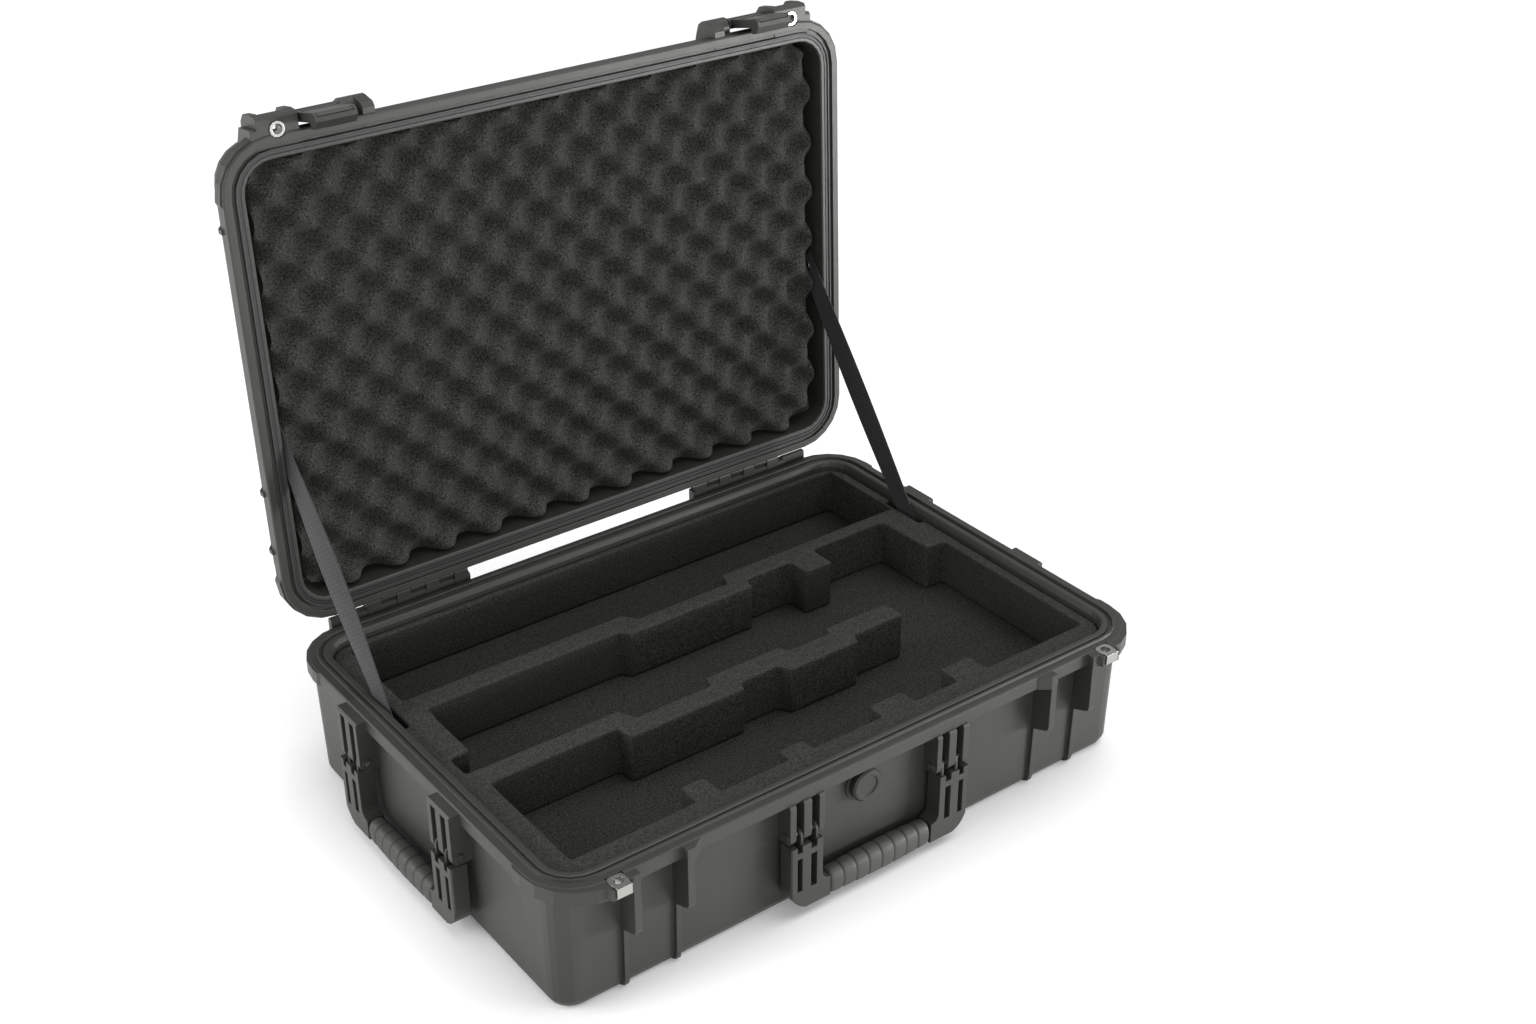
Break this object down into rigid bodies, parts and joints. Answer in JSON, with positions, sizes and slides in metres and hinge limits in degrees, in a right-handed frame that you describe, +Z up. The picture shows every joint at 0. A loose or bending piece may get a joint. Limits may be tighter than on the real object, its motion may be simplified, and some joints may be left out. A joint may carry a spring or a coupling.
{
  "type": "hard equipment case",
  "caption": "Long hard-shell equipment case shown open, with a foam-lined base, a hinged lid with convoluted foam, strap stays, latches and folding handles.",
  "frame": {"origin": "centre of the base's flat underside", "axes": "+X along the case to its right end, +Y to the back (hinge side), +Z up; the latches and one handle face -Y"},
  "size_m": [0.7064, 0.5569, 0.654],
  "materials": {
    "shell": "fine moulded texture, satin, charcoal",
    "latch": "smooth moulded, satin, charcoal",
    "grip": "ribbed soft plastic",
    "foam": "open-cell polyurethane foam, charcoal",
    "gasket": "soft black rubber",
    "webbing": "woven nylon webbing, black",
    "steel": "bright stainless steel"
  },
  "bodies": {
    "base": {"base_shell": "shell", "base_foam_lower": "foam", "base_foam_middle": "foam", "base_foam_tray": "foam", "valve_cap": "latch", "valve_seal": "gasket", "valve_nut": "latch", "base_eyelet_left": "steel", "hinge_pin_left": "steel", "lid_strap_left": "webbing", "strap_screw_base_left": "steel", "base_eyelet_right": "steel", "hinge_pin_right": "steel", "lid_strap_right": "webbing", "strap_screw_base_right": "steel", "handle_front_pin_a": "steel", "handle_front_pin_b": "steel", "handle_left_pin_a": "steel", "handle_left_pin_b": "steel", "handle_right_pin_a": "steel", "handle_right_pin_b": "steel"},
    "lid": {"lid_shell": "shell", "lid_gasket": "gasket", "lid_foam": "foam", "lid_eyelet_left": "steel", "strap_screw_lid_left": "steel", "latch_left_pin": "latch", "lid_eyelet_right": "steel", "strap_screw_lid_right": "steel", "latch_right_pin": "latch"},
    "latch_left": {"latch_left_body": "latch", "latch_left_trigger_pin": "steel"},
    "trigger_left": {"latch_left_trigger": "latch"},
    "latch_right": {"latch_right_body": "latch", "latch_right_trigger_pin": "steel"},
    "trigger_right": {"latch_right_trigger": "latch"},
    "handle_front": {"handle_front_frame": "shell", "handle_front_grip": "grip"},
    "handle_left": {"handle_left_frame": "shell", "handle_left_grip": "grip"},
    "handle_right": {"handle_right_frame": "shell", "handle_right_grip": "grip"}
  },
  "joints": [
    {"name": "lid_hinge", "type": "hinge", "parent": "base", "child": "lid", "pos_m": [0, 0.2438, 0.1516], "axis": [1, 0, 0], "range_deg": [0, 92.2], "deforming": ["lid_strap_left", "lid_strap_right"]},
    {"name": "latch_left_swing", "type": "hinge", "parent": "lid", "child": "latch_left", "pos_m": [-0.237, 0.27296, 0.63964], "axis": [1, 0, 0], "range_deg": [-80, 11]},
    {"name": "trigger_left_pull", "type": "hinge", "parent": "latch_left", "child": "trigger_left", "pos_m": [-0.237, 0.25765, 0.64446], "axis": [-1, 0, 0], "range_deg": [0, 20], "stiffness_Nm_per_rad": 0.06},
    {"name": "latch_right_swing", "type": "hinge", "parent": "lid", "child": "latch_right", "pos_m": [0.237, 0.27296, 0.63964], "axis": [1, 0, 0], "range_deg": [-80, 11]},
    {"name": "trigger_right_pull", "type": "hinge", "parent": "latch_right", "child": "trigger_right", "pos_m": [0.237, 0.25765, 0.64446], "axis": [-1, 0, 0], "range_deg": [0, 20], "stiffness_Nm_per_rad": 0.06},
    {"name": "handle_front_swing", "type": "hinge", "parent": "base", "child": "handle_front", "pos_m": [0.0025, -0.235, 0.09], "axis": [-1, 0, 0], "range_deg": [0, 95]},
    {"name": "handle_left_swing", "type": "hinge", "parent": "base", "child": "handle_left", "pos_m": [-0.342, 0.018, 0.09], "axis": [0, 1, 0], "range_deg": [0, 95]},
    {"name": "handle_right_swing", "type": "hinge", "parent": "base", "child": "handle_right", "pos_m": [0.342, 0.018, 0.09], "axis": [0, -1, 0], "range_deg": [0, 95]}
  ]
}
